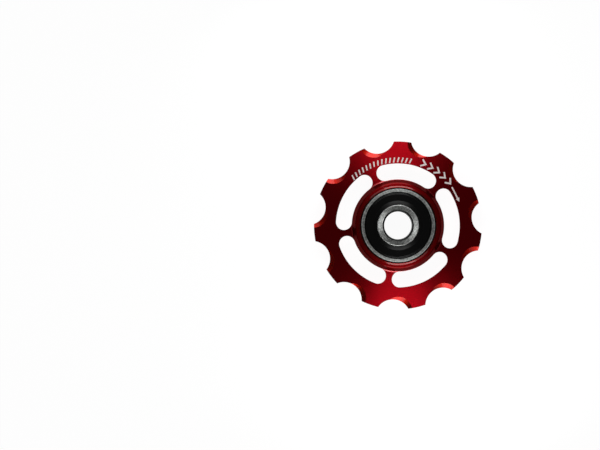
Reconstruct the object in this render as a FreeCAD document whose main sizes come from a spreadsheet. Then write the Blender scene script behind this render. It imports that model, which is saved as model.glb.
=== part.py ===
"""Derailleur jockey wheel: an eleven-tooth aluminium wheel on a sealed ball bearing.

The wheel's axis is Z, its marked face looks along +Z, and the origin is on the axis
at the middle of the bearing. Every length is in millimetres and every angle in degrees.
"""

import FreeCAD, Part
import math
import os
import Sketcher

# Sizes that are set by themselves
DRIVING = [
    ("tooth_count", 11, "teeth"),
    ("chain_pitch", 12.7, "from one chain roller to the next"),
    ("roller_dia", 7.77, "chain roller"),
    ("bottom_play", 0.055, "gap under a roller at the bottom of a gullet"),
    ("gullet_play", 0.555, "what a gullet's radius has over the roller's"),
    ("tooth_height", 2.47, "tooth tip above the bottom of a gullet"),
    ("plate_thick", 1.9, "teeth, rim and spokes"),
    ("wheel_turn", -27.8, "turn of the spoke that points at a gullet, from +X about +Z"),
    ("bevel_shift", 2.09, "bevel's axis from the gullet's axis"),
    ("bevel_lean", 38, "direction of that shift, from the wheel's axis to the tooth ahead"),
    ("bevel_radius", 3.54, "bevel at the marked face"),
    ("bevel_slope", 35, "bevel against the marked face"),
    ("slot_count", 5, "slots, with a spoke between each two"),
    ("slot_width", 4.0, "slot across"),
    ("slot_step", 0.07, "from the end of the hub's wall to a slot"),
    ("spoke_width", 1.54, "narrowest place of a spoke"),
    ("edge_slope", 35, "turned chamfers against the face"),
    ("seat_chamfer", 0.4, "mouth of the bearing seat, across"),
    ("hub_flat", 0.55, "flat ring on the hub's end"),
    ("hub_edge", 0.3, "chamfer outside that ring, across"),
    ("hub_draft", 0.75, "what the hub gains in radius down its wall"),
    ("hub_cove", 0.28, "slope from the end of the wall to the plate, across"),
    ("front_recess", 0.25, "bearing below the hub's front end"),
    ("lip_thick", 0.25, "lip behind the bearing"),
    ("lip_reach", 0.7, "that lip inwards from the seat"),
    ("bore_dia", 7.0, "bearing bore"),
    ("bearing_dia", 19.0, "bearing outside"),
    ("ball_count", 7, "balls"),
    ("ball_dia", 3.969, "ball, 5/32 inch"),
    ("side_room", 1.0155, "bearing face beyond the balls, each side"),
    ("bore_chamfer", 0.44, "bore at each face"),
    ("rim_chamfer", 0.3, "outer ring's outside corners"),
    ("edge_break", 0.1, "broken edge where a ring's face meets the seal"),
    ("inner_face_share", 0.265, "inner ring's face, with its chamfer, over the bearing's wall"),
    ("outer_face_share", 0.1917, "outer ring's face, with its chamfer, over the wall"),
    ("shoulder_share", 0.3167, "room between the two rings' shoulders over the wall"),
    ("ball_play", 0.03, "ball from the bottom of a raceway"),
    ("groove_share", 0.52, "raceway's radius over the ball's diameter"),
    ("pocket_play", 0.08, "ball in its cage pocket"),
    ("cage_sheet", 0.25, "cage steel"),
    ("cage_width", 1.1, "cage ring across"),
    ("shank_share", 0.5, "rivet shank over the room between two pockets"),
    ("head_share", 0.8, "rivet head over that room"),
    ("rivet_head_tall", 0.2, "rivet head"),
    ("seal_clear", 0.13, "seal from the cage and from the inner ring's shoulder"),
    ("seal_recess", 0.07, "seal below the bearing's face"),
    ("seal_edge_gap", 0.12, "open line between the seal and the outer ring's face"),
    ("snap_reach", 0.1, "seal's rim under the outer ring's face"),
    ("snap_play", 0.03, "that rim in its groove"),
    ("rim_tall", 0.2, "that rim along the axis"),
    ("bead_radius", 0.25, "round bead along the seal's edge"),
    ("bead_rise", 0.05, "bead above the seal's flat"),
    ("lip_gap", 0.1, "seal's lip from the inner ring"),
    ("lip_slope_share", 0.1667, "sloping band inside the seal's flat over the wall"),
    ("lip_drop", 0.38, "that band down to the lip"),
    ("lip_tip", 0.1, "lip's tip along the axis"),
    ("core_thick", 0.2, "steel washer in the seal"),
    ("core_inside_share", 0.1083, "washer's hole outside the lip over the wall"),
    ("core_outside", 0.05, "washer's rim inside the bead"),
]

# Sizes worked out from those, which the sketches and solids are bound to
WORKED_OUT = [
    ("pitch_radius", "chain_pitch / (2 * sin(180 / tooth_count))", "rollers in mesh"),
    ("gullet_radius", "roller_dia / 2 + gullet_play", "gullet"),
    ("root_radius", "pitch_radius - roller_dia / 2 - bottom_play", "bottoms of the gullets"),
    ("gullet_track", "root_radius + gullet_radius", "gullets' centres"),
    ("tip_radius", "root_radius + tooth_height", "tooth tips"),
    ("plate_half", "plate_thick / 2", "half the plate"),
    ("bevel_out", "gullet_track - bevel_shift * cos(bevel_lean)", "bevel's axis along the spoke"),
    ("bevel_across", "bevel_shift * sin(bevel_lean)", "bevel's axis across the spoke"),
    ("bevel_deep", "bevel_radius * tan(bevel_slope)", "bevel cone's height"),
    ("bevel_point", "plate_half - bevel_deep", "height of the cone's point"),
    ("bore_radius", "bore_dia / 2", "bore"),
    ("bearing_radius", "bearing_dia / 2", "bearing outside"),
    ("ball_radius", "ball_dia / 2", "ball"),
    ("ball_track", "(bore_dia + bearing_dia) / 4", "balls' centres"),
    ("wall", "(bearing_dia - bore_dia) / 2", "bearing's wall, from bore to outside"),
    ("ring_half", "ball_radius + side_room", "half the bearing's width"),
    ("bore_mouth", "bore_radius + bore_chamfer", "chamfer of the bore on the face"),
    ("bore_end", "ring_half - bore_chamfer", "chamfer of the bore, height"),
    ("rim_mouth", "bearing_radius - rim_chamfer", "outside corner on the face"),
    ("rim_end", "ring_half - rim_chamfer", "outside corner, height"),
    ("land_radius", "bore_radius + wall * inner_face_share", "seal land on the inner ring"),
    ("land_mouth", "land_radius - edge_break", "land's broken edge on the face"),
    ("mouth_radius", "bearing_radius - wall * outer_face_share", "outer ring inside, at the face"),
    ("mouth_edge", "mouth_radius + edge_break", "that mouth's broken edge"),
    ("edge_height", "ring_half - edge_break", "broken edges, height"),
    ("inner_shoulder", "ball_track - wall * shoulder_share / 2", "inner ring's shoulder"),
    ("outer_shoulder", "ball_track + wall * shoulder_share / 2", "outer ring's shoulder"),
    ("groove_radius", "ball_dia * groove_share", "raceways"),
    ("inner_groove", "ball_track - ball_radius - ball_play + groove_radius", "inner race's centre"),
    ("outer_groove", "ball_track + ball_radius + ball_play - groove_radius", "outer race's centre"),
    ("pocket_radius", "ball_radius + pocket_play", "cage pocket inside"),
    ("cup_radius", "pocket_radius + cage_sheet", "cage pocket outside"),
    ("cage_inner", "ball_track - cage_width / 2", "cage inside"),
    ("cage_outer", "ball_track + cage_width / 2", "cage outside"),
    ("rivet_room", "2 * ball_track * sin(90 / ball_count) - cup_radius", "room beside a rivet"),
    ("shank_radius", "rivet_room * shank_share", "rivet shank"),
    ("head_radius", "rivet_room * head_share", "rivet head"),
    ("rivet_end", "cage_sheet + rivet_head_tall", "rivet's end, height"),
    ("rivet_out", "ball_track * cos(180 / ball_count)", "first rivet along X"),
    ("rivet_across", "ball_track * sin(180 / ball_count)", "first rivet along Y"),
    ("seal_back", "cup_radius + seal_clear", "seal's inner face, height"),
    ("shoulder_end", "seal_back - seal_clear", "inner ring's shoulder, height"),
    ("seal_face", "ring_half - seal_recess", "seal's outer face, height"),
    ("seal_edge", "mouth_radius - seal_edge_gap", "seal's visible edge"),
    ("bead_track", "seal_edge - bead_radius", "bead's centre"),
    ("bead_height", "seal_face + bead_rise - bead_radius", "bead's centre, height"),
    ("snap_rim", "mouth_radius + snap_reach", "seal's rim"),
    ("snap_rim_end", "seal_back + rim_tall", "seal's rim, height"),
    ("snap_groove", "snap_rim + snap_play", "groove for that rim"),
    ("snap_groove_end", "snap_rim_end + snap_play", "groove, height"),
    ("lip_radius", "land_radius + lip_gap", "lip"),
    ("slope_radius", "lip_radius + wall * lip_slope_share", "flat's inner edge"),
    ("lip_height", "seal_face - lip_drop", "lip's outer corner, height"),
    ("lip_under", "lip_height - lip_tip", "lip's inner corner, height"),
    ("core_hole", "lip_radius + wall * core_inside_share", "washer's hole"),
    ("core_rim", "bead_track - bead_radius - core_outside", "washer's rim"),
    ("core_height", "seal_back + core_thick", "washer's outer face, height"),
    ("seat_mouth", "bearing_radius + seat_chamfer", "seat's mouth"),
    ("hub_front", "ring_half + front_recess", "hub's front end, height"),
    ("hub_back", "ring_half + lip_thick", "hub's back end, below the middle"),
    ("seat_end", "hub_front - seat_chamfer * tan(edge_slope)", "seat's mouth, height"),
    ("lip_hole", "bearing_radius - lip_reach", "hole in the back lip"),
    ("hub_rim", "seat_mouth + hub_flat", "hub's flat end"),
    ("hub_wall", "hub_rim + hub_edge", "hub's wall at its end"),
    ("hub_foot", "hub_wall + hub_draft", "hub's wall at its other end"),
    ("cove_rim", "hub_foot + hub_cove", "slope's end on the plate"),
    ("cove_height", "plate_half + hub_cove * tan(edge_slope)", "slope's start on the wall, height"),
    ("front_edge", "hub_front - hub_edge * tan(edge_slope)", "hub's front chamfer, height"),
    ("back_edge", "hub_back - hub_edge * tan(edge_slope)", "hub's back chamfer, below the middle"),
    ("slot_half", "slot_width / 2", "slot's end radius"),
    ("slot_track", "hub_foot + slot_step + slot_half", "slots' centre line"),
    ("slot_inside", "slot_track - slot_half", "slots' inner edge"),
    ("slot_outside", "slot_track + slot_half", "slots' outer edge"),
    (
        "slot_reach",
        "180 / slot_count - asin((spoke_width + slot_width) / (2 * slot_track)) / 1deg",
        "slot's end from its middle",
    ),
    ("slot_end_out", "slot_track * cos(slot_reach)", "end's centre along the slot's middle"),
    ("slot_end_across", "slot_track * sin(slot_reach)", "end's centre across it"),
]

# How a sketch numbers the points of an item, and its own two axes, of which the first holds its origin too
START, END, CENTRE = range(1, 4)
ACROSS, UP = range(-1, -3, -1)
ORIGIN = ACROSS

document = FreeCAD.newDocument("jockey_wheel")
sizes = document.addObject("Spreadsheet::Sheet", "sizes")
rows = [(name, str(value), use) for name, value, use in DRIVING]
rows += [(name, "=" + rule, use) for name, rule, use in WORKED_OUT]
for row, (name, content, use) in enumerate(rows, start=1):
    sizes.set(f"A{row}", use)
    sizes.set(f"B{row}", content)
    sizes.setAlias(f"B{row}", name)
document.recompute()


def formula(size):
    """The expression for a size, which a minus sign takes to the other side of the middle."""
    return "-sizes." + size[1:] if size.startswith("-") else "sizes." + size


def number(size):
    """What a size is worth now, where a sketch's geometry starts."""
    if size in ("0", "axis"):
        return 0
    return -getattr(sizes, size[1:]) if size.startswith("-") else getattr(sizes, size)


def flipped(size):
    """The same size on the other side of the middle plane."""
    if size == "0":
        return size
    return size[1:] if size.startswith("-") else "-" + size


def mirrored(corners):
    """Corners below the middle plane that close an outline drawn above it."""
    return [(radius, flipped(height)) for radius, height in reversed(corners)]


def on_side(side, corners):
    """Corners of a front piece, turned over for a back one."""
    return corners if side == "front" else [(radius, flipped(height)) for radius, height in corners]


def origin_part(body, role):
    """One of a body's own origin planes or axes."""
    return next(part for part in body.Origin.OriginFeatures if part.Role == role)


def add_sketch(body, name, role):
    """An empty sketch on one of the body's origin planes."""
    sketch = body.newObject("Sketcher::SketchObject", name)
    sketch.AttachmentSupport = [(origin_part(body, role), "")]
    sketch.MapMode = "FlatFace"
    return sketch


def hold(sketch, kind, item, point, size):
    """Bind one coordinate of a point to a size, or lay the point on the middle plane or the axis."""
    if size in ("0", "axis"):
        line = ACROSS if size == "0" else UP
        sketch.addConstraint(Sketcher.Constraint("PointOnObject", item, point, line))
        return
    index = sketch.addConstraint(Sketcher.Constraint(kind, item, point, number(size)))
    sketch.setExpression(f"Constraints[{index}]", formula(size))


def hold_radius(sketch, item, size):
    """Bind the radius of an arc or circle to a size."""
    index = sketch.addConstraint(Sketcher.Constraint("Radius", item, number(size)))
    sketch.setExpression(f"Constraints[{index}]", formula(size))


def draw_section(body, name, corners):
    """A closed outline of straight sides: each corner is a radius and a height."""
    sketch = add_sketch(body, name, "XZ_Plane")
    places = [FreeCAD.Vector(number(radius), number(height), 0) for radius, height in corners]
    for place, following in zip(places, places[1:] + places[:1]):
        sketch.addGeometry(Part.LineSegment(place, following))
    for side, (radius, height) in enumerate(corners):
        following = (side + 1) % len(corners)
        sketch.addConstraint(Sketcher.Constraint("Coincident", side, END, following, START))
        hold(sketch, "DistanceX", side, START, radius)
        hold(sketch, "DistanceY", side, START, height)
    return sketch


def draw_circle(body, name, role, out, up, radius):
    """A circle with its centre that far along the plane's two axes."""
    sketch = add_sketch(body, name, role)
    centre = FreeCAD.Vector(number(out), number(up), 0)
    circle = sketch.addGeometry(Part.Circle(centre, FreeCAD.Vector(0, 0, 1), number(radius)))
    hold(sketch, "DistanceX", circle, CENTRE, out)
    hold(sketch, "DistanceY", circle, CENTRE, up)
    hold_radius(sketch, circle, radius)
    return sketch


def turn(body, kind, name, sketch):
    """Revolve a section about the body's Z axis, as a solid or as a cut."""
    feature = body.newObject(kind, name)
    feature.Profile = sketch
    feature.ReferenceAxis = (sketch, ["V_Axis"])
    feature.Angle = 360
    return feature


def turned_body(name, corners):
    """A body whose first feature is a turned section."""
    body = document.addObject("PartDesign::Body", name)
    turn(body, "PartDesign::Revolution", name + "_turned", draw_section(body, name + "_section", corners))
    return body


def cut_through(body, name, sketch):
    """Cut a sketch of the XY plane through the body, both ways."""
    pocket = body.newObject("PartDesign::Pocket", name)
    pocket.Profile = sketch
    pocket.Type = "ThroughAll"
    pocket.SideType = "Symmetric"
    return pocket


def repeat_round(body, name, feature, count):
    """Repeat the body's last feature evenly about the Z axis."""
    pattern = body.newObject("PartDesign::PolarPattern", name)
    pattern.Originals = [feature]
    pattern.Axis = (origin_part(body, "Z_Axis"), [""])
    pattern.Angle = 360
    pattern.setExpression("Occurrences", formula(count))
    body.Tip = pattern
    return pattern


def put_primitive(body, kind, name, place, lengths):
    """A solid or cut of simple form in the body, at a place given by sizes."""
    feature = body.newObject(kind, name)
    feature.AttachmentSupport = [(origin_part(body, "XY_Plane"), "")]
    feature.MapMode = "FlatFace"
    for axis, size in place.items():
        feature.setExpression(f".AttachmentOffset.Base.{axis}", formula(size))
    for length, size in lengths.items():
        feature.setExpression(length, formula(size))
    return feature


def draw_slot(body):
    """A slot bent about the wheel's axis: two arcs about that axis, joined by two round ends."""
    sketch = add_sketch(body, "slot_outline", "XY_Plane")
    # Half a step round, so that a spoke and not a slot lies on the body's X axis
    sketch.setExpression(".AttachmentOffset.Rotation.Angle", "180 / sizes.slot_count")
    reach = math.radians(number("slot_reach"))
    middle = FreeCAD.Vector(0, 0, 0)
    ahead = FreeCAD.Vector(number("slot_end_out"), number("slot_end_across"), 0)
    behind = FreeCAD.Vector(number("slot_end_out"), -number("slot_end_across"), 0)
    arcs = [
        (middle, "slot_outside", -reach, reach),
        (ahead, "slot_half", reach, reach + math.pi),
        (middle, "slot_inside", -reach, reach),
        (behind, "slot_half", math.pi - reach, 2 * math.pi - reach),
    ]
    for centre, radius, start, end in arcs:
        circle = Part.Circle(centre, FreeCAD.Vector(0, 0, 1), number(radius))
        sketch.addGeometry(Part.ArcOfCircle(circle, start, end))
    outside, round_ahead, inside, round_behind = range(4)
    joins = [
        (outside, END, round_ahead, START),
        (round_ahead, END, inside, END),
        (inside, START, round_behind, START),
        (round_behind, END, outside, START),
    ]
    for join in joins:
        sketch.addConstraint(Sketcher.Constraint("Tangent", *join))
    for arc in (outside, inside):
        sketch.addConstraint(Sketcher.Constraint("Coincident", arc, CENTRE, ORIGIN, START))
    hold(sketch, "DistanceX", round_ahead, CENTRE, "slot_end_out")
    hold(sketch, "DistanceY", round_ahead, CENTRE, "slot_end_across")
    hold(sketch, "DistanceY", round_behind, CENTRE, "-slot_end_across")
    hold_radius(sketch, round_ahead, "slot_half")
    return sketch


def make_pulley_wheel():
    """Toothed wheel: hub and plate turned together, then slots, gullets and bevels milled."""
    body = turned_body(
        "pulley_wheel",
        [
            ("bearing_radius", "-ring_half"),
            ("lip_hole", "-ring_half"),
            ("lip_hole", "-hub_back"),
            ("hub_rim", "-hub_back"),
            ("hub_wall", "-back_edge"),
            ("hub_foot", "-cove_height"),
            ("cove_rim", "-plate_half"),
            ("tip_radius", "-plate_half"),
            ("tip_radius", "plate_half"),
            ("cove_rim", "plate_half"),
            ("hub_foot", "cove_height"),
            ("hub_wall", "front_edge"),
            ("hub_rim", "hub_front"),
            ("seat_mouth", "hub_front"),
            ("bearing_radius", "seat_end"),
        ],
    )
    slot = cut_through(body, "slot", draw_slot(body))
    repeat_round(body, "slots", slot, "slot_count")
    outline = draw_circle(body, "gullet_outline", "XY_Plane", "gullet_track", "0", "gullet_radius")
    gullet = cut_through(body, "gullet", outline)
    repeat_round(body, "gullets", gullet, "tooth_count")
    bevel = put_primitive(
        body,
        "PartDesign::SubtractiveCone",
        "bevel",
        {"x": "bevel_out", "y": "bevel_across", "z": "bevel_point"},
        {"Radius2": "bevel_radius", "Height": "bevel_deep"},
    )
    bevel.Radius1 = 0
    repeat_round(body, "bevels", bevel, "tooth_count")
    body.setExpression(".Placement.Rotation.Angle", "sizes.wheel_turn")
    return body


def make_outer_ring():
    """Outer ring: raceway, and at each face a mouth with a groove that the seal snaps into."""
    front = [
        ("outer_shoulder", "seal_back"),
        ("snap_groove", "seal_back"),
        ("snap_groove", "snap_groove_end"),
        ("mouth_radius", "snap_groove_end"),
        ("mouth_radius", "edge_height"),
        ("mouth_edge", "ring_half"),
        ("rim_mouth", "ring_half"),
        ("bearing_radius", "rim_end"),
    ]
    body = turned_body("bearing_outer_ring", front + mirrored(front))
    race = draw_circle(body, "outer_race_outline", "XZ_Plane", "outer_groove", "0", "groove_radius")
    turn(body, "PartDesign::Groove", "outer_race", race)
    return body


def make_inner_ring():
    """Inner ring: raceway between two shoulders, and at each face a land under the seal's lip."""
    front = [
        ("bore_radius", "bore_end"),
        ("bore_mouth", "ring_half"),
        ("land_mouth", "ring_half"),
        ("land_radius", "edge_height"),
        ("land_radius", "shoulder_end"),
        ("inner_shoulder", "shoulder_end"),
    ]
    body = turned_body("bearing_inner_ring", front + mirrored(front))
    race = draw_circle(body, "inner_race_outline", "XZ_Plane", "inner_groove", "0", "groove_radius")
    turn(body, "PartDesign::Groove", "inner_race", race)
    return body


def make_seal_rubber(side):
    """Rubber of a seal: a snap rim, a round bead, a flat and a sloping lip, over its washer."""
    body = turned_body(
        "seal_rubber_" + side,
        on_side(
            side,
            [
                ("lip_radius", "lip_under"),
                ("lip_radius", "lip_height"),
                ("slope_radius", "seal_face"),
                ("bead_track", "seal_face"),
                ("bead_track", "bead_height"),
                ("seal_edge", "bead_height"),
                ("seal_edge", "snap_rim_end"),
                ("snap_rim", "snap_rim_end"),
                ("snap_rim", "seal_back"),
                ("core_rim", "seal_back"),
                ("core_rim", "core_height"),
                ("core_hole", "core_height"),
                ("core_hole", "seal_back"),
            ],
        ),
    )
    height = "bead_height" if side == "front" else flipped("bead_height")
    bead = draw_circle(body, "bead_outline_" + side, "XZ_Plane", "bead_track", height, "bead_radius")
    turn(body, "PartDesign::Revolution", "bead_" + side, bead)
    return body


def make_seal_core(side):
    """Steel washer that stiffens a seal, bare towards the balls."""
    corners = [
        ("core_hole", "seal_back"),
        ("core_rim", "seal_back"),
        ("core_rim", "core_height"),
        ("core_hole", "core_height"),
    ]
    return turned_body("seal_core_" + side, on_side(side, corners))


def make_cage_half(side):
    """Half of the ball cage: a flat ring with a round cup pressed over each ball."""
    name = "cage_half_" + side
    flat = [
        ("cage_inner", "0"),
        ("cage_outer", "0"),
        ("cage_outer", "cage_sheet"),
        ("cage_inner", "cage_sheet"),
    ]
    body = turned_body(name, on_side(side, flat))
    place = ("rivet_out", "rivet_across", "shank_radius")
    outline = draw_circle(body, name + "_hole_outline", "XY_Plane", *place)
    hole = cut_through(body, name + "_hole", outline)
    repeat_round(body, name + "_holes", hole, "ball_count")
    on_track = {"x": "ball_track"}
    cup = put_primitive(
        body, "PartDesign::AdditiveSphere", name + "_cup", on_track, {"Radius": "cup_radius"}
    )
    repeat_round(body, name + "_cups", cup, "ball_count")
    around = [
        ("bore_radius", "-ring_half"),
        ("bearing_radius", "-ring_half"),
        ("bearing_radius", "ring_half"),
        ("cage_outer", "ring_half"),
        ("cage_outer", "0"),
        ("cage_inner", "0"),
        ("cage_inner", "ring_half"),
        ("bore_radius", "ring_half"),
    ]
    trim = draw_section(body, name + "_trim_outline", on_side(side, around))
    turn(body, "PartDesign::Groove", name + "_trim", trim)
    pocket = put_primitive(
        body, "PartDesign::SubtractiveSphere", name + "_pocket", on_track, {"Radius": "pocket_radius"}
    )
    repeat_round(body, name + "_pockets", pocket, "ball_count")
    return body


def make_rivet(index):
    """Rivet that holds the two cage halves together, between one ball and the next."""
    front = [
        ("axis", "rivet_end"),
        ("shank_radius", "rivet_end"),
        ("head_radius", "cage_sheet"),
        ("shank_radius", "cage_sheet"),
    ]
    body = turned_body(f"cage_rivet_{index}", front + mirrored(front))
    place_round(body, f"360 * ({index} - 0.5) / sizes.ball_count")
    return body


def make_ball(index):
    """One ball in its pocket."""
    ball = document.addObject("Part::Sphere", f"ball_{index}")
    ball.setExpression("Radius", "sizes.ball_radius")
    place_round(ball, f"360 * ({index} - 1) / sizes.ball_count")
    return ball


def place_round(piece, angle):
    """Stand a piece on the balls' track, that far round from +X."""
    piece.setExpression(".Placement.Base.x", f"sizes.ball_track * cos({angle})")
    piece.setExpression(".Placement.Base.y", f"sizes.ball_track * sin({angle})")


def check_and_export(pieces):
    """Stop at anything that failed to build or cut nothing, then write each piece's file."""
    cuts = ("Pocket", "Groove", "SubtractiveCone", "SubtractiveSphere")
    for item in document.Objects:
        if "Invalid" in item.State or "Error" in item.State:
            raise RuntimeError(f"{item.Label} did not build")
        if item.TypeId.split("::")[-1] in cuts and item.Shape.Volume >= item.BaseFeature.Shape.Volume:
            raise RuntimeError(f"{item.Label} cut nothing")
    for piece in pieces:
        if piece.Shape.isNull() or not piece.Shape.isValid() or len(piece.Shape.Solids) != 1:
            raise RuntimeError(f"{piece.Label} is not one valid solid")
    os.makedirs("parts", exist_ok=True)
    for piece in pieces:
        piece.Shape.exportStep(f"parts/{piece.Label}.step")
        print(f"{piece.Label}: {piece.Shape.Volume:.3f} mm3")


sides = ("front", "back")
ball_numbers = range(1, int(sizes.ball_count) + 1)
pieces = [make_pulley_wheel(), make_outer_ring(), make_inner_ring()]
pieces += [make_seal_rubber(side) for side in sides]
pieces += [make_seal_core(side) for side in sides]
pieces += [make_cage_half(side) for side in sides]
pieces += [make_rivet(index) for index in ball_numbers]
pieces += [make_ball(index) for index in ball_numbers]
document.recompute()
check_and_export(pieces)
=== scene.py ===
# %% [markdown]
# # A derailleur jockey wheel, dressed for its picture
#
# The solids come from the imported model: a red anodised wheel with eleven teeth, pressed on a
# sealed ball bearing. This lesson gives each of them the finish of the real piece, prints the
# white marks on the wheel's face, and sets up the floor, the lamps and the camera. The scene is
# in metres, so sizes that are given in millimetres are multiplied by MM on their way in.

# %% Load the solids
import math

import bpy
import numpy as np
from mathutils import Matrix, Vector


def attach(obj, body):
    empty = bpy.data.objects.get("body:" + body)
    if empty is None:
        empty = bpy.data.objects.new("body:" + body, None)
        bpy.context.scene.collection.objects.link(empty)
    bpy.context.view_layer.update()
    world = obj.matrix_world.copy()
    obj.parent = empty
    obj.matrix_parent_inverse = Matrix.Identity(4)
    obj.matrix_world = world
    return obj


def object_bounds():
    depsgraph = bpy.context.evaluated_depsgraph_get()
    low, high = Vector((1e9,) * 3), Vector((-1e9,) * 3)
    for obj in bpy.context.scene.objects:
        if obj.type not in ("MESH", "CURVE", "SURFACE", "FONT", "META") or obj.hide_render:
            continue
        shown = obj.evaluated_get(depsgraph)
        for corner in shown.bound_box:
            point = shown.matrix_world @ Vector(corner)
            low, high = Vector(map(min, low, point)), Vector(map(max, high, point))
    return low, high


MM = 0.001
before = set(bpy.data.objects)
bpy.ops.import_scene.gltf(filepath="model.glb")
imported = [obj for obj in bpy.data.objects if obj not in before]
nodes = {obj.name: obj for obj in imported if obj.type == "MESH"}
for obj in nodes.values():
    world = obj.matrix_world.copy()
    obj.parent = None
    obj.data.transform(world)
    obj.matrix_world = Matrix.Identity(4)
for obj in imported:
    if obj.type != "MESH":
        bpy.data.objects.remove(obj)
solid_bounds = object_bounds()

# %% [markdown]
# ## The camera
#
# The photograph looks straight down the wheel's axis, from far enough away that no side wall of
# a tooth shows. A short lens from near by would show the walls on one side. So the camera takes a
# 200 mm lens, and stands where that lens sees the photograph's width on the face of the wheel.
# The wheel isn't in the middle of the picture, so the camera stands over the picture's middle.

# %% Camera
PICTURE_WIDTH, PICTURE_HEIGHT = 600, 450
WHEEL_IN_PICTURE = (397.96, 225.43)
METRES_PER_PIXEL = 0.2508 * MM
FACE_HEIGHT = 0.95 * MM
LENS, SENSOR = 200, 36
CLIP_NEAR, CLIP_FAR = 0.01, 20

camera_data = bpy.data.cameras.new("long_lens")
camera_data.lens = LENS
camera_data.sensor_width = SENSOR
camera_data.clip_start = CLIP_NEAR
camera_data.clip_end = CLIP_FAR
camera = bpy.data.objects.new("camera", camera_data)
bpy.context.scene.collection.objects.link(camera)
bpy.context.scene.camera = camera
camera_far = PICTURE_WIDTH * METRES_PER_PIXEL * LENS / SENSOR
camera.location = (
    (PICTURE_WIDTH / 2 - WHEEL_IN_PICTURE[0]) * METRES_PER_PIXEL,
    (WHEEL_IN_PICTURE[1] - PICTURE_HEIGHT / 2) * METRES_PER_PIXEL,
    FACE_HEIGHT + camera_far,
)
print("camera at", [round(x, 4) for x in camera.location])

# %% [markdown]
# ## Helpers for node trees
#
# A material is a graph, and most of its lines would only add a node, set it and join it to the
# last one. These helpers do that in one call: a value that is a socket is linked, and any other
# value is set on the node's own input.


# %% Add and feed nodes
def feed(tree, socket, value):
    """Link a socket's output into an input, or set a plain value on it."""
    if isinstance(value, bpy.types.NodeSocket):
        tree.links.new(value, socket)
    else:
        socket.default_value = value


def feed_named(tree, node, **values):
    """Feed a node's inputs by name, with _ for a space, and return the node."""
    for name, value in values.items():
        feed(tree, node.inputs[name.replace("_", " ")], value)
    return node


def put(tree, kind, settings=None, **values):
    """Add a node, set its properties and feed its inputs by name."""
    node = tree.nodes.new(kind)
    for name, value in (settings or {}).items():
        setattr(node, name, value)
    return feed_named(tree, node, **values)


def in_order(tree, kind, settings, *values):
    """Add a node, feed its inputs in order, and return its first output."""
    node = put(tree, kind, settings)
    for socket, value in zip(node.inputs, values):
        feed(tree, socket, value)
    return node.outputs[0]


# %% Sums, ramps and greys
def calc(tree, operation, *values):
    """The result of one Math node."""
    return in_order(tree, "ShaderNodeMath", {"operation": operation}, *values)


def ramp(tree, value, low, high, start=0, end=1):
    """A smooth step: start while value is under low, end above high."""
    node = put(tree, "ShaderNodeMapRange", {"interpolation_type": "SMOOTHSTEP"}, Value=value,
               From_Min=low, From_Max=high, To_Min=start, To_Max=end)
    return node.outputs["Result"]


def neutral(level):
    """A colour with the same red, green and blue."""
    return (level, level, level, 1)


# %% [markdown]
# ## Floor, walls and lamps
#
# The wheel lies on a white floor. A floor that is only lit would be grey here, because most of
# the lamps stand close to the wheel, and more light would burn out the metal. So the floor glows
# for what the camera and the metal see, and still darkens where the wheel keeps the light away.

# %% Floor
FLOOR_HEIGHT = solid_bounds[0][2] - 0.01 * MM
FLOOR_HALF = 3.0


def flat_square(name, half, height):
    """A square sheet: x and y both run from -half to half, and z is the height."""
    x, y = np.meshgrid((-half, half), (-half, half), indexing="ij")
    corners = np.stack([x, y, np.full_like(x, height)], axis=-1).reshape(-1, 3)
    mesh = bpy.data.meshes.new(name)
    mesh.from_pydata(corners.tolist(), [], [(0, 2, 3, 1)])
    sheet = bpy.data.objects.new(name, mesh)
    bpy.context.scene.collection.objects.link(sheet)
    return sheet


floor = flat_square("floor", FLOOR_HALF, FLOOR_HEIGHT)
print("floor at", FLOOR_HEIGHT)

# %% Floor's white
FLOOR_COLOUR, SEEN_COLOUR, GLOW = 0.82, 0.13, 0.95

white = bpy.data.materials.new("white_floor")
white.use_nodes = True
white.cycles.emission_sampling = "NONE"
tree = white.node_tree
tree.nodes.clear()
path = put(tree, "ShaderNodeLightPath").outputs
seen = calc(tree, "MAXIMUM", path["Is Camera Ray"], path["Is Glossy Ray"])
seen = calc(tree, "MAXIMUM", seen, path["Is Transmission Ray"])
lit = put(tree, "ShaderNodeBsdfDiffuse", Color=neutral(FLOOR_COLOUR)).outputs[0]
dim = put(tree, "ShaderNodeBsdfDiffuse", Color=neutral(SEEN_COLOUR)).outputs[0]
glow = put(tree, "ShaderNodeEmission", Color=neutral(1), Strength=GLOW).outputs[0]
glowing = in_order(tree, "ShaderNodeAddShader", {}, dim, glow)
choice = in_order(tree, "ShaderNodeMixShader", {}, seen, lit, glowing)
put(tree, "ShaderNodeOutputMaterial", Surface=choice)
floor.data.materials.append(white)
print("floor's nodes:", len(tree.nodes))

# %% [markdown]
# The dark sides of the wheel's face come from a dark ceiling: from straight above, a mirror-like
# face shows the ceiling. Low down all round is a pale wall, which stands behind the wheel when it
# is looked at from the side. Between the two lies a darker shoulder, which the slopes mirror. The
# world does all three, as a brightness that depends on height alone.

# %% World
WALL_LIGHT, SHOULDER_LIGHT, CEILING_LIGHT = 0.95, 0.03, 0.09
WALL_END, CEILING_START = (4.5, 8), (25, 60)


def sine(degrees):
    """The height of a direction that rises so many degrees."""
    return math.sin(math.radians(degrees))


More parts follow.
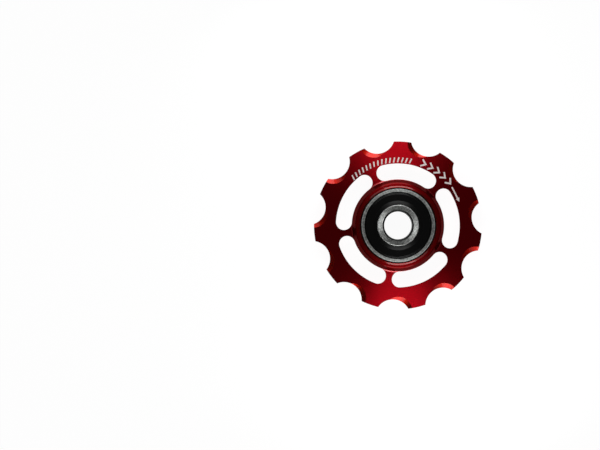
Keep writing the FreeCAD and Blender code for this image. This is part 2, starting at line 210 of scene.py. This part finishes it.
world = bpy.data.worlds.new("pale_walls_dark_ceiling")
bpy.context.scene.world = world
world.use_nodes = True
tree = world.node_tree
tree.nodes.clear()
direction = put(tree, "ShaderNodeTexCoord").outputs["Generated"]
up = put(tree, "ShaderNodeSeparateXYZ", Vector=direction).outputs["Z"]
wall = ramp(tree, up, *map(sine, WALL_END), WALL_LIGHT - SHOULDER_LIGHT, 0)
ceiling = ramp(tree, up, *map(sine, CEILING_START), SHOULDER_LIGHT, CEILING_LIGHT)
strength = calc(tree, "ADD", wall, ceiling)
sky = put(tree, "ShaderNodeBackground", Color=neutral(1), Strength=strength).outputs[0]
put(tree, "ShaderNodeOutputWorld", Surface=sky)
print("world's nodes:", len(tree.nodes))

# %% [markdown]
# The wheel's bevels flash where they face the top or the bottom of the picture, and nowhere else.
# A bevel of 35 degrees, seen from above, mirrors what stands 20 degrees above the table. So a
# bright soft box stands low behind the wheel and another in front, a short way beyond the teeth.
# Each has a dimmer wing on its anticlockwise side, where the flashes fade out slowly. Flatter
# slopes and the face mirror what is higher up, so a third pair of boxes stands high and far off.

# %% Lamps
LOW_BOX = dict(turn=92, about=21, far=32, rise=30, span=56, tall=42, light=4.1)
WING_BOX = dict(turn=122, about=21, far=42, rise=30, span=36, tall=42, light=0.73)
HIGH_BOX = dict(turn=91.5, about=0, far=800, rise=47, span=36, tall=26, light=1.5)


def soft_box(name, half_turn, turn, about, far, rise, span, tall, light):
    """A rectangular lamp that looks at a point level with the bearing's middle.

    The point lies about millimetres from the axis, and the lamp far millimetres from the point,
    at the same azimuth and a rise. Seen from the point, the lamp is span wide and tall high. All
    angles are in degrees. A lamp of brightness L and area A gives off pi times L times A watts.
    """
    data = bpy.data.lights.new(name, "AREA")
    data.shape = "RECTANGLE"
    data.size = 2 * far * MM * math.tan(math.radians(span / 2))
    data.size_y = 2 * far * MM * math.tan(math.radians(tall / 2))
    data.energy = math.pi * light * data.size * data.size_y
    lamp = bpy.data.objects.new(name, data)
    bpy.context.scene.collection.objects.link(lamp)
    azimuth, climb = math.radians(turn + half_turn), math.radians(rise)
    flat = Vector((math.cos(azimuth), math.sin(azimuth), 0))
    away = flat * math.cos(climb) + Vector((0, 0, math.sin(climb)))
    lamp.location = flat * about * MM + away * far * MM
    lamp.rotation_euler = away.to_track_quat("Z", "Y").to_euler()
    lamp.visible_camera = False
    print(name, "watts:", round(data.energy, 2))


for side, half_turn in (("back", 0), ("front", 180)):
    for label, box in (("low", LOW_BOX), ("wing", WING_BOX), ("high", HIGH_BOX)):
        soft_box(f"{side}_{label}", half_turn, **box)

bpy.context.scene.view_settings.view_transform = "Standard"

# %% [markdown]
# ## What the surfaces share
#
# Three effects come up again and again. A turned surface carries fine rings left by the lathe
# tool. Handled steel has soft blotches. And every piece gathers a few specks of dust. Each is a
# node group, so that a material only gives it a scale. They all read Object coordinates, which
# stay with the piece when it turns.


# %% Places on a piece
def here(tree):
    """The place that is shaded, in its piece's own coordinates."""
    return put(tree, "ShaderNodeTexCoord").outputs["Object"]


def here_in_steps(tree, step):
    """The same place, scaled so that a step in millimetres becomes one."""
    scaled = put(tree, "ShaderNodeVectorMath", {"operation": "SCALE"},
                 Vector=here(tree), Scale=calc(tree, "DIVIDE", 1 / MM, step))
    return scaled.outputs[0]


def vector_calc(tree, operation, *values):
    """The vector that one Vector Math node works out."""
    return in_order(tree, "ShaderNodeVectorMath", {"operation": operation}, *values)


def from_axis(tree):
    """The flat vector from the wheel's axis to the place that is shaded."""
    return vector_calc(tree, "MULTIPLY", here(tree), (1, 1, 0))


def radius_in_mm(tree):
    """How far from the wheel's axis that place lies, in millimetres."""
    length = put(tree, "ShaderNodeVectorMath", {"operation": "LENGTH"}, Vector=from_axis(tree))
    return calc(tree, "MULTIPLY", length.outputs["Value"], 1 / MM)


# %% Node groups
GROUPS = {}


def new_group(name, result, **given):
    """An empty group of numbers; returns its tree, its given values and the input for its result."""
    tree = bpy.data.node_groups.new(name, "ShaderNodeTree")
    for label, value in given.items():
        socket = tree.interface.new_socket(
            label.replace("_", " "), in_out="INPUT", socket_type="NodeSocketFloat"
        )
        socket.default_value = value
    tree.interface.new_socket(result, in_out="OUTPUT", socket_type="NodeSocketFloat")
    GROUPS[name] = tree
    print("group:", name, "given:", sorted(given))
    return tree, tree.nodes.new("NodeGroupInput").outputs, tree.nodes.new("NodeGroupOutput").inputs[0]


def use_group(tree, name, **values):
    """Place a group in a material with its own values, and return its result."""
    return put(tree, "ShaderNodeGroup", {"node_tree": GROUPS[name]}, **values).outputs[0]


def sway(tree, value, pattern, reach):
    """A value that follows a pattern: reach times what the pattern is above 0.5 is added to it."""
    return calc(tree, "MULTIPLY_ADD", calc(tree, "SUBTRACT", pattern, 0.5), reach, value)


# %% Turning rings
WAVER_SCALE = 180.0

tree, given, result = new_group("turning_rings", "Rings", Rings_per_mm=6.0, Waver=0.15)
height = put(tree, "ShaderNodeSeparateXYZ", Vector=here(tree)).outputs["Z"]
along = calc(tree, "ADD", radius_in_mm(tree), calc(tree, "MULTIPLY", height, 1 / MM))
patch = put(tree, "ShaderNodeTexNoise", Vector=here(tree), Scale=WAVER_SCALE, Detail=2.0)
along = sway(tree, along, patch.outputs["Fac"], given["Waver"])
along = calc(tree, "MULTIPLY", along, given["Rings per mm"])
fine = put(tree, "ShaderNodeTexNoise", {"noise_dimensions": "1D"},
           W=along, Scale=1.0, Detail=3.0, Roughness=0.6)
tree.links.new(fine.outputs["Fac"], result)

# %% Blotches
tree, given, result = new_group("blotches", "Blotches", Size_in_mm=1.0, Contrast=1.0)
place = here_in_steps(tree, given["Size in mm"])
cloud = put(tree, "ShaderNodeTexNoise", Vector=place, Scale=1.0, Detail=4.0, Roughness=0.55)
spread = sway(tree, 0.5, cloud.outputs["Fac"], given["Contrast"])
tree.links.new(calc(tree, "MINIMUM", calc(tree, "MAXIMUM", spread, 0.0), 1.0), result)

# %% Specks of dust
BARE_SHARE = 0.6

tree, given, result = new_group("specks", "Specks", Spacing_in_mm=2.0, Speck_in_mm=0.1)
place = here_in_steps(tree, given["Spacing in mm"])
cells = put(tree, "ShaderNodeTexVoronoi", Vector=place, Scale=1.0).outputs
luck = put(tree, "ShaderNodeSeparateColor", Color=cells["Color"]).outputs[0]
reach = calc(tree, "DIVIDE", given["Speck in mm"], given["Spacing in mm"])
speck = calc(tree, "LESS_THAN", cells["Distance"], reach)
speck = calc(tree, "MULTIPLY", speck, calc(tree, "GREATER_THAN", luck, BARE_SHARE))
tree.links.new(speck, result)

# %% [markdown]
# ## Red anodised aluminium
#
# Anodising grows a clear oxide on the metal and fills it with dye, so light passes the dye twice
# and comes back as red metal. The colour is therefore the metal's own reflection colour, not a
# paint. The lathe's rings make the face scatter light outwards and inwards but hardly around, so
# the face shows a bright fan towards each lamp. That is the Principled shader's anisotropy, with
# a tangent that points away from the axis.


# %% A finish with a direction
def new_finish(name, **constants):
    """A material with a Principled BSDF; returns the material, its tree and the shader."""
    material = bpy.data.materials.new(name)
    material.use_nodes = True
    tree = material.node_tree
    return material, tree, feed_named(tree, tree.nodes["Principled BSDF"], **constants)


def tangent(tree, way, turned=0):
    """A flat vector, turned by some degrees, as a unit direction in the world."""
    way = put(tree, "ShaderNodeVectorRotate", {"rotation_type": "Z_AXIS"},
              Vector=way, Angle=math.radians(turned)).outputs[0]
    into_world = {"vector_type": "VECTOR", "convert_from": "OBJECT", "convert_to": "WORLD"}
    unit = vector_calc(tree, "NORMALIZE", way)
    return put(tree, "ShaderNodeVectorTransform", into_world, Vector=unit).outputs[0]


def height_share(tree):
    """How far the surface looks along the axis, from 0 for a wall to 1 for a face."""
    looks = put(tree, "ShaderNodeTexCoord").outputs["Normal"]
    return calc(tree, "ABSOLUTE", put(tree, "ShaderNodeSeparateXYZ", Vector=looks).outputs["Z"])


# %% [markdown]
# Each bevel is part of a cone, around the axis of a pointed cutter that stood a little to one
# side of the gullet. Its marks run up and down the slope, so it scatters light around that axis,
# which draws its flash out along the edge. The azimuth of a place, counted in teeth and rounded,
# tells which cutter's axis is the nearest.

# %% Lay of the bevels
TEETH = 11
GULLET_AZIMUTH, CUTTER_AHEAD = -27.8, 3.45
CUTTER_OUT = 21.43 * MM
CUTTER_AZIMUTH = math.radians(GULLET_AZIMUTH + CUTTER_AHEAD)


def around_cutter(tree, way):
    """The flat direction around the nearest cutter's axis, given the vector from the wheel's axis.

    It is the vector from the cutter's axis to the place that is shaded, crossed with +Z.
    """
    split = put(tree, "ShaderNodeSeparateXYZ", Vector=way).outputs
    azimuth = calc(tree, "SUBTRACT", calc(tree, "ARCTAN2", split["Y"], split["X"]), CUTTER_AZIMUTH)
    tooth = calc(tree, "ROUND", calc(tree, "MULTIPLY", azimuth, TEETH / math.tau))
    turn = calc(tree, "MULTIPLY_ADD", tooth, math.tau / TEETH, CUTTER_AZIMUTH)
    x, y = (calc(tree, "MULTIPLY", calc(tree, wave, turn), CUTTER_OUT) for wave in ("COSINE", "SINE"))
    axis = put(tree, "ShaderNodeCombineXYZ", X=x, Y=y).outputs[0]
    return vector_calc(tree, "CROSS_PRODUCT", vector_calc(tree, "SUBTRACT", way, axis), (0, 0, 1))


# %% [markdown]
# The wheel is one piece, but its places don't shine alike. The walls carry painted shade: their
# red is painted darker. Of the turned and milled edges the mouth of the bearing seat, the cove at
# the hub's foot and the bevels have the brightest flashes. Those come from a clear coat, which the
# mouth has on its outer lip alone, and on the cove also from a painted highlight: a brighter red.
# A mask tells each place by its radius and by how the surface looks: the edges are all cut at 35
# degrees.

# %% Masks for the wheel's places
HUB_RADII, COVE_RADII, BEVEL_RADII = (11.0, 11.4), (11.3, 11.5), (13.0, 14.0)
MOUTH_RADII, LIP_RADII = (10.0, 10.1), (9.5, 9.75)
WALL_LOOKS, EDGE_LOOKS, FACE_LOOKS = (0.4, 0.6), (0.6, 0.65), (0.84, 0.88)


def wheel_places(tree):
    """Masks by name; each fades between a pair of radii, in millimetres, or a pair of looks."""
    radius, looks = radius_in_mm(tree), height_share(tree)
    edge = calc(tree, "MULTIPLY", ramp(tree, looks, *EDGE_LOOKS), ramp(tree, looks, *FACE_LOOKS, 1, 0))
    bevel = calc(tree, "MULTIPLY", edge, ramp(tree, radius, *BEVEL_RADII))
    beyond_hub = calc(tree, "MULTIPLY", edge, ramp(tree, radius, *COVE_RADII))
    mouth = calc(tree, "MULTIPLY", edge, ramp(tree, radius, *MOUTH_RADII, 1, 0))
    return {
        "hub": ramp(tree, radius, *HUB_RADII, 1, 0),
        "wall": ramp(tree, looks, *WALL_LOOKS, 1, 0),
        "edge": edge,
        "cove": calc(tree, "SUBTRACT", beyond_hub, bevel),
        "bevel": bevel,
        "mouth": mouth,
        "lip": calc(tree, "MULTIPLY", mouth, ramp(tree, radius, *LIP_RADII)),
    }


# %% Blends
def blend(tree, kind, share, first, second, way="MIX"):
    """Mix two values by a share; their kind is FLOAT, RGBA or VECTOR."""
    node = put(tree, "ShaderNodeMix", {"data_type": kind, "blend_type": way},
               Factor=share, A=first, B=second)
    return node.outputs["Result"]


def by_place(tree, kind, value, masks, values):
    """A value for the face of the wheel, blended in order into those of its other places."""
    for place, other in values.items():
        value = blend(tree, kind, masks[place], value, other)
    return value


def shaded(tree, colour, tone):
    """A colour times a tone, the same in red, green and blue."""
    tones = put(tree, "ShaderNodeCombineColor", Red=tone, Green=tone, Blue=tone).outputs[0]
    return blend(tree, "RGBA", 1.0, colour, tones, "MULTIPLY")


# %% Finish of each place
FACE_RED = (0.44, 0.004, 0.010, 1)
# Painted light and shade: the wheel has one dye, and these reds differ only to paint the hub, walls, edges,
# bevels and mouth darker than the face, and the cove brighter as a painted highlight.
PAINTED_LIGHT_AND_SHADE_REDS = {
    "hub": (0.35, 0.004, 0.007, 1),
    "wall": (0.13, 0.002, 0.003, 1),
    "edge": (0.175, 0.003, 0.004, 1),
    "cove": (0.58, 0.03, 0.04, 1),
    "bevel": (0.36, 0.008, 0.003, 1),
    "mouth": (0.30, 0.008, 0.006, 1),
}
FACE_ROUGHNESS = 0.48
ROUGHNESSES = {"hub": 0.78, "edge": 0.45, "bevel": 0.38, "wall": 0.3}
COATS = {"edge": 0.025, "wall": 0.025, "lip": 0.25, "cove": 0.25, "bevel": 0.108}
print("places with a red of their own:", list(PAINTED_LIGHT_AND_SHADE_REDS))

# %% Red anodised
SIDEWAYS_RED, DUST_RED = (0.5, 0.02, 0.03, 1), (0.6, 0.2, 0.2, 1)
RING_TONE, CLOUD_TONE, CLOUD_ROUGHNESS, DUST_SHARE = 0.4, 0.12, 0.06, 0.35
RING_DEPTH = 0.002 * MM

red, tree, shader = new_finish(
    "red_anodised", Metallic=1.0, Specular_Tint=SIDEWAYS_RED, Anisotropic=0.9, Coat_Roughness=0.12,
    Coat_IOR=2.2,
)
masks = wheel_places(tree)
rings = use_group(tree, "turning_rings", Rings_per_mm=5.0, Waver=0.1)
cloud = use_group(tree, "blotches", Size_in_mm=5.0, Contrast=0.9)
dust = use_group(tree, "specks", Spacing_in_mm=2.6, Speck_in_mm=0.07)
tone = sway(tree, sway(tree, 1.0, rings, RING_TONE), cloud, CLOUD_TONE)
# The reds by place paint shade on the darker places and a highlight on the cove.
colour = shaded(tree, by_place(tree, "RGBA", FACE_RED, masks, PAINTED_LIGHT_AND_SHADE_REDS), tone)
colour = blend(tree, "RGBA", calc(tree, "MULTIPLY", dust, DUST_SHARE), colour, DUST_RED)
rough = by_place(tree, "FLOAT", FACE_ROUGHNESS, masks, ROUGHNESSES)
outwards = from_axis(tree)
lay = blend(tree, "VECTOR", masks["bevel"], outwards, around_cutter(tree, outwards))
bump = put(tree, "ShaderNodeBump", Height=rings, Strength=0.25, Distance=RING_DEPTH)
feed_named(
    tree, shader, Base_Color=colour, Roughness=sway(tree, rough, cloud, CLOUD_ROUGHNESS),
    Coat_Weight=by_place(tree, "FLOAT", 0, masks, COATS), Tangent=tangent(tree, lay),
    Normal=bump.outputs[0],
)
print("masks on the wheel:", sorted(masks))

# %% [markdown]
# ## Bearing steel
#
# The outer ring is turned and ground around its axis, so it brightens towards the lamps, as the
# wheel's face does. The inner ring's face is lapped across, and brightens at the sides. Both have
# soft grey blotches from oil and handling, and fine scratches in wavering arcs. Each face has a
# narrow rim with a painted highlight, brighter all round, and its corner chamfers carry painted shade.

# %% Ring steel
TURNED_GREY, LAPPED_GREY = (0.55, 0.57, 0.55, 1), (0.68, 0.70, 0.68, 1)
ARCS_PER_MM, ARC_TONE = 4.0, 2.4
STEEL_TONE, STAIN_TONE = 0.9, 0.5
STEEL_ROUGHNESS, STAIN_ROUGHNESS = 0.52, 0.12
# Painted shade on the corner chamfers, and a painted highlight on each rim that fades in over RIM_FADE
# millimetres.
CORNER_LOOKS, PAINTED_CORNER_SHADE = (0.85, 0.95), 0.06
RIM_FADE = 0.05


def ring_steel(name, grey, lay, strength, waver, rim, rim_highlight_gain):
    """Ground steel: a grey metal with blotches, and with turning rings that waver into arcs.

    The lay is turned from outwards by so many degrees, with a strength of up to 1. The rings
    waver by so many millimetres. The rim is a pair of radii in millimetres, where rim_highlight_gain
    adds a painted highlight all round, and the corner chamfers are darkened as painted shade.
    """
    material, tree, shader = new_finish(name, Metallic=1.0, Anisotropic=strength)
    rings = use_group(tree, "turning_rings", Rings_per_mm=ARCS_PER_MM, Waver=waver)
    stains = use_group(tree, "blotches", Size_in_mm=0.45, Contrast=4.2)
    radius = radius_in_mm(tree)
    # Painted highlight: the rim of each face is made brighter all round.
    rim_highlight = calc(tree, "MULTIPLY", ramp(tree, radius, rim[0], rim[0] + RIM_FADE),
                  ramp(tree, radius, rim[1] - RIM_FADE, rim[1], 1, 0))
    # Painted shade: the corner chamfers are darkened, except on the rim.
    painted_corner_shade = ramp(tree, height_share(tree), *CORNER_LOOKS, PAINTED_CORNER_SHADE, 1)
    tone = sway(tree, sway(tree, STEEL_TONE, stains, STAIN_TONE), rings, ARC_TONE)
    tone = calc(tree, "MULTIPLY_ADD", rim_highlight, rim_highlight_gain, tone)
    tone = calc(tree, "MULTIPLY", tone, calc(tree, "MAXIMUM", painted_corner_shade, rim_highlight))
    bump = put(tree, "ShaderNodeBump", Height=rings, Strength=0.3, Distance=RING_DEPTH)
    feed_named(
        tree, shader, Base_Color=shaded(tree, grey, tone), Normal=bump.outputs[0],
        Roughness=sway(tree, STEEL_ROUGHNESS, stains, STAIN_ROUGHNESS),
        Tangent=tangent(tree, from_axis(tree), lay),
    )
    return material


turned_steel = ring_steel(
    "ring_steel_turned", TURNED_GREY, lay=0, strength=0.5, waver=0.8, rim=(8.95, 9.2), rim_highlight_gain=0.7
)
lapped_steel = ring_steel(
    "ring_steel_lapped", LAPPED_GREY, lay=105, strength=0.75, waver=1.2, rim=(4.85, 5.2), rim_highlight_gain=0.35
)
print("ring steels:", turned_steel.name, lapped_steel.name)

# %% [markdown]
# ## Seal rubber
#
# The seals are moulded nitrile rubber: near black, satin, with the faint rings of a turned mould
# and a little dust. Rubber reflects by its surface only, so it is a plain dielectric. Its slopes
# are rougher than its flats.

# %% Seal rubber
DEEP_BLACK, PALE_BLACK, DUST_GREY = neutral(0.0004), (0.0012, 0.0012, 0.0011, 1), (0.2, 0.2, 0.19, 1)
FLAT_ROUGHNESS, SLOPE_ROUGHNESS, MOULD_ROUGHNESS = 0.19, 0.34, 0.08
SLOPE_LOOKS = (0.97, 0.99)
SEAL_DUST_SHARE = 0.3
MOULD_DEPTH = 0.004 * MM

rubber, tree, shader = new_finish("seal_rubber", IOR=1.42, Anisotropic=0.8)
rings = use_group(tree, "turning_rings", Rings_per_mm=3.0, Waver=0.05)
cloud = use_group(tree, "blotches", Size_in_mm=0.8, Contrast=1.2)
dust = use_group(tree, "specks", Spacing_in_mm=0.9, Speck_in_mm=0.035)
colour = blend(tree, "RGBA", cloud, DEEP_BLACK, PALE_BLACK)
colour = blend(tree, "RGBA", calc(tree, "MULTIPLY", dust, SEAL_DUST_SHARE), colour, DUST_GREY)
on_slope = ramp(tree, height_share(tree), *SLOPE_LOOKS, 1, 0)
rough = blend(tree, "FLOAT", on_slope, FLAT_ROUGHNESS, SLOPE_ROUGHNESS)
bump = put(tree, "ShaderNodeBump", Height=cloud, Strength=0.3, Distance=MOULD_DEPTH)
feed_named(
    tree, shader, Base_Color=colour, Roughness=sway(tree, rough, rings, MOULD_ROUGHNESS),
    Tangent=tangent(tree, from_axis(tree)), Normal=bump.outputs[0],
)
print("rubber's nodes:", len(tree.nodes))

# %% [markdown]
# ## Inside the bearing
#
# The seals hide the cage, the balls and the washers, but a library part is opened one day. The
# cage and the washers are rolled sheet with soft blotches, and the balls are lapped bright.

# %% Sheet steel and balls
SHEET_TONE, SHEET_ROUGHNESS = 0.3, 0.1


def inner_steel(name, tint, roughness, size, contrast):
    """Plain steel for hidden pieces: a tint, with blotches of a size in millimetres."""
    material, tree, shader = new_finish(name, Metallic=1.0)
    stains = use_group(tree, "blotches", Size_in_mm=size, Contrast=contrast)
    feed_named(
        tree, shader, Base_Color=shaded(tree, tint, sway(tree, STEEL_TONE, stains, SHEET_TONE)),
        Roughness=sway(tree, roughness, stains, SHEET_ROUGHNESS),
    )
    return material


cage_steel = inner_steel("cage_steel", (0.55, 0.54, 0.52, 1), roughness=0.38, size=0.7, contrast=1.5)
washer_steel = inner_steel("washer_steel", neutral(0.50), roughness=0.45, size=1.2, contrast=1.5)
ball_steel = inner_steel("ball_steel", neutral(0.70), roughness=0.08, size=1.5, contrast=0.6)

# %% Finishes to nodes
FINISHES = {
    "pulley_wheel": red,
    "bearing_outer_ring": turned_steel,
    "bearing_inner_ring": lapped_steel,
    "seal_rubber": rubber,
    "seal_core": washer_steel,
    "cage": cage_steel,
    "ball": ball_steel,
}
for name, node in nodes.items():
    start = next(key for key in FINISHES if name.startswith(key))
    for place_in_mesh in node.material_slots:
        place_in_mesh.material = FINISHES[start]
print("dressed", len(nodes), "nodes")

# %% [markdown]
# ## The printed marks
#
# White marks are printed on the marked face, on the band between the slots and the teeth. Only
# generic marks are drawn: a row of slanted strokes, a row of chevrons and an arrow, which point
# the way the wheel turns. Ink stands a hundredth of a millimetre proud of the metal. Each mark is
# a stroke: a low domed profile carried along a path, like a bead of paint, with square ends.

# %% Ink
PALE_INK, WHITE_INK = (0.97, 0.80, 0.78, 1), (1.0, 0.92, 0.90, 1)

ink, tree, shader = new_finish("print_white", Roughness=0.6)
cloud = use_group(tree, "blotches", Size_in_mm=0.25, Contrast=1.6)
feed_named(tree, shader, Base_Color=blend(tree, "RGBA", cloud, PALE_INK, WHITE_INK))
print("ink's nodes:", len(tree.nodes))

# %% Strokes of ink
INK_HEIGHT = 0.012 * MM
INK_SUNK = 0.002 * MM
PROFILE = np.array([(-1, 0), (-1, 0.6), (-0.86, 1), (0.86, 1), (1, 0.6), (1, 0)], float)


def carry_profile(path, widths):
    """Points of a stroke, as a grid of path points by profile points.

    At each path point the profile stands square to the path: its first coordinate goes sideways
    by half the width there, stretched at a bend so that the stroke keeps its width, and its
    second goes up by the ink's height.
    """
    ahead = np.diff(path, axis=0)
    ahead /= np.linalg.norm(ahead, axis=1, keepdims=True)
    before, after = np.vstack([ahead[:1], ahead]), np.vstack([ahead, ahead[-1:]])
    middle = before + after
    middle /= np.linalg.norm(middle, axis=1, keepdims=True)
    sideways = np.stack([-middle[:, 1], middle[:, 0]], axis=1)
    stretch = 1 / np.einsum("ij,ij->i", middle, after)
    reach = (widths / 2 * stretch)[:, None] * PROFILE[None, :, 0]
    flat = path[:, None, :] + reach[..., None] * sideways[:, None, :]
    up = np.broadcast_to(FACE_HEIGHT - INK_SUNK + PROFILE[:, 1] * (INK_HEIGHT + INK_SUNK), reach.shape)
    return np.concatenate([flat, up[..., None]], axis=-1)


# %% Marks from strokes
def stroke_mesh(strokes):
    """One mesh from several strokes: quads between rows, a quad strip underneath and end faces."""
    points, faces = [], []
    for grid in strokes:
        rows, columns = grid.shape[:2]
        first = sum(len(p) for p in points)
        index = first + np.arange(rows * columns).reshape(rows, columns)
        around = np.roll(index, -1, axis=1)
        quads = np.stack([index[:-1], index[1:], around[1:], around[:-1]], axis=-1).reshape(-1, 4)
        points.append(grid.reshape(-1, 3))
        faces += quads.tolist() + [index[0].tolist(), index[-1, ::-1].tolist()]
    return np.concatenate(points), faces


def print_mark(name, strokes):
    """A printed mark that turns with the wheel."""
    points, faces = stroke_mesh(strokes)
    mesh = bpy.data.meshes.new(name)
    mesh.from_pydata(points.tolist(), [], faces)
    mesh.materials.append(ink)
    mark = bpy.data.objects.new(name, mesh)
    bpy.context.scene.collection.objects.link(mark)
    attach(mark, "wheel")
    print(name, "strokes:", len(strokes), "faces:", len(faces))


# %% Places on the face
def on_face(azimuth, radius, along, outward):
    """Flat points given along (clockwise) and outward in millimetres, from a place on the face."""
    turn = math.radians(azimuth)
    out = np.array([math.cos(turn), math.sin(turn)])
    clockwise = np.array([math.sin(turn), -math.cos(turn)])
    along, outward = np.asarray(along, float), np.asarray(outward, float)
    return (radius * out + along[:, None] * clockwise + outward[:, None] * out) * MM


def print_row(name, along, outward, wide, radius, azimuths):
    """The same stroke at each azimuth of an arc; it is so many millimetres wide."""
    widths = np.full(len(along), wide * MM)
    paths = [on_face(azimuth, radius, along, outward) for azimuth in azimuths]
    print_mark(name, [carry_profile(path, widths) for path in paths])


# %% Arrow
ARROW_FROM, ARROW_TO = (35.3, 16.6), (21.2, 16.5)
SHAFT_WIDE, HEAD_LONG, HEAD_WIDE, TIP_WIDE = 0.36 * MM, 0.95 * MM, 0.98 * MM, 0.02 * MM

tail, tip = (on_face(azimuth, radius, [0], [0])[0] for azimuth, radius in (ARROW_FROM, ARROW_TO))
neck = tip - (tip - tail) / np.linalg.norm(tip - tail) * HEAD_LONG
shaft = carry_profile(np.array([tail, neck]), np.array([SHAFT_WIDE, SHAFT_WIDE]))
head = carry_profile(np.array([neck, tip]), np.array([HEAD_WIDE, TIP_WIDE]))
print_mark("arrow_print", [shaft, head])

# %% Chevrons
CHEVRON_RADIUS, CHEVRON_TALL, CHEVRON_LONG, CHEVRON_WIDE = 16.8, 1.8, 0.58, 0.41
CHEVRON_FIRST, CHEVRON_LAST, CHEVRONS = 67.5, 40.5, 5

print_row(
    "chevron_print", [-CHEVRON_LONG, CHEVRON_LONG, -CHEVRON_LONG], [CHEVRON_TALL / 2, 0, -CHEVRON_TALL / 2],
    CHEVRON_WIDE, CHEVRON_RADIUS, np.linspace(CHEVRON_FIRST, CHEVRON_LAST, CHEVRONS),
)

# %% Slanted strokes
SLANT_RADIUS, SLANT_TALL, SLANT_LEAN, SLANT_WIDE = 16.45, 1.25, 0.35, 0.36
SLANT_FIRST, SLANT_LAST, SLANTS = 133, 79, 16

print_row(
    "slant_print", [-SLANT_LEAN / 2, SLANT_LEAN / 2], [-SLANT_TALL / 2, SLANT_TALL / 2],
    SLANT_WIDE, SLANT_RADIUS, np.linspace(SLANT_FIRST, SLANT_LAST, SLANTS),
)
